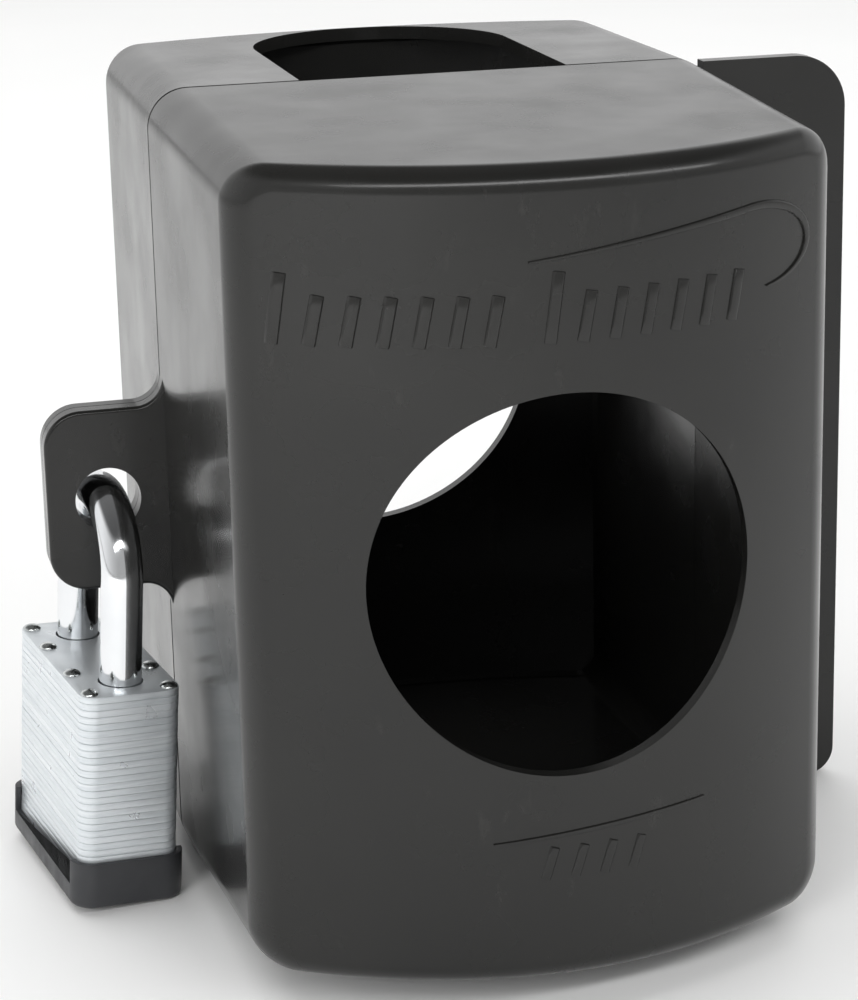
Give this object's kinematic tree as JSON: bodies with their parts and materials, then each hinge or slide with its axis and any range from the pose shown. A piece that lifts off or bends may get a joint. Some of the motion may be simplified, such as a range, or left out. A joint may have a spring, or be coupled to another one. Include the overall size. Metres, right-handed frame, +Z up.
{
  "type": "lockable power connector cover",
  "caption": "Black two-half clamshell cover that shuts round a power connector, hinged along one side and locked through matching ears by a laminated padlock.",
  "frame": {"origin": "centre of the bounding box in X and Y, at the height of the lowest point", "axes": "+Z up, +X from the padlock ear towards the hinge flange, -Y towards the bowed front with the large round port"},
  "size_m": [0.1898, 0.1818, 0.1713],
  "materials": {
    "case_plastic": "satin black moulded plastic with a light sheen",
    "pin_steel": "plain steel pin",
    "plate_steel": "zinc-plated steel with stamped edges",
    "rivet_steel": "peened steel",
    "shackle_chrome": "polished chrome",
    "cylinder_brass": "machined brass",
    "bumper_vinyl": "smooth dark vinyl"
  },
  "bodies": {
    "rear_half": {"rear_cover": "case_plastic", "hinge_pin": "pin_steel"},
    "front_half": {"front_cover": "case_plastic"},
    "shackle_bar": {"shackle": "shackle_chrome"},
    "lock_body": {"lamination_01": "plate_steel", "lamination_02": "plate_steel", "lamination_03": "plate_steel", "lamination_04": "plate_steel", "lamination_05": "plate_steel", "lamination_06": "plate_steel", "lamination_07": "plate_steel", "lamination_08": "plate_steel", "lamination_09": "plate_steel", "lamination_10": "plate_steel", "lamination_11": "plate_steel", "lamination_12": "plate_steel", "lamination_13": "plate_steel", "lamination_14": "plate_steel", "lamination_15": "plate_steel", "lamination_16": "plate_steel", "lamination_17": "plate_steel", "lamination_18": "plate_steel", "lamination_19": "plate_steel", "lamination_20": "plate_steel", "lamination_21": "plate_steel", "lamination_22": "plate_steel", "lamination_23": "plate_steel", "lamination_24": "plate_steel", "lamination_25": "plate_steel", "lamination_26": "plate_steel", "lamination_27": "plate_steel", "lamination_28": "plate_steel", "lamination_29": "plate_steel", "lamination_30": "plate_steel", "rivet_1": "rivet_steel", "rivet_2": "rivet_steel", "rivet_3": "rivet_steel", "rivet_4": "rivet_steel", "rivet_5": "rivet_steel", "rivet_6": "rivet_steel", "rivet_7": "rivet_steel", "rivet_8": "rivet_steel", "lever_heel": "plate_steel", "lever_toe": "plate_steel", "lock_cylinder": "cylinder_brass", "bumper": "bumper_vinyl"},
    "plug": {"key_plug": "cylinder_brass"}
  },
  "joints": [
    {"name": "cover_hinge", "type": "hinge", "parent": "rear_half", "child": "front_half", "pos_m": [0.07355, 0.0021, 0.08565], "axis": [0, 0, 1], "range_deg": [0, 110]},
    {"name": "padlock_swing", "type": "hinge", "parent": "rear_half", "child": "shackle_bar", "pos_m": [-0.07405, 0.0081, 0.0853], "axis": [0, 1, 0], "range_deg": [0, 60]},
    {"name": "shackle_release", "type": "slide", "parent": "shackle_bar", "child": "lock_body", "axis": [-0.0645, 0, -0.9979], "range_m": [0, 0.011]},
    {"name": "plug_turn", "type": "hinge", "parent": "lock_body", "child": "plug", "pos_m": [-0.07818, 0.0081, 0.02143], "axis": [0.0645, 0, 0.9979], "range_deg": [0, 90]}
  ]
}
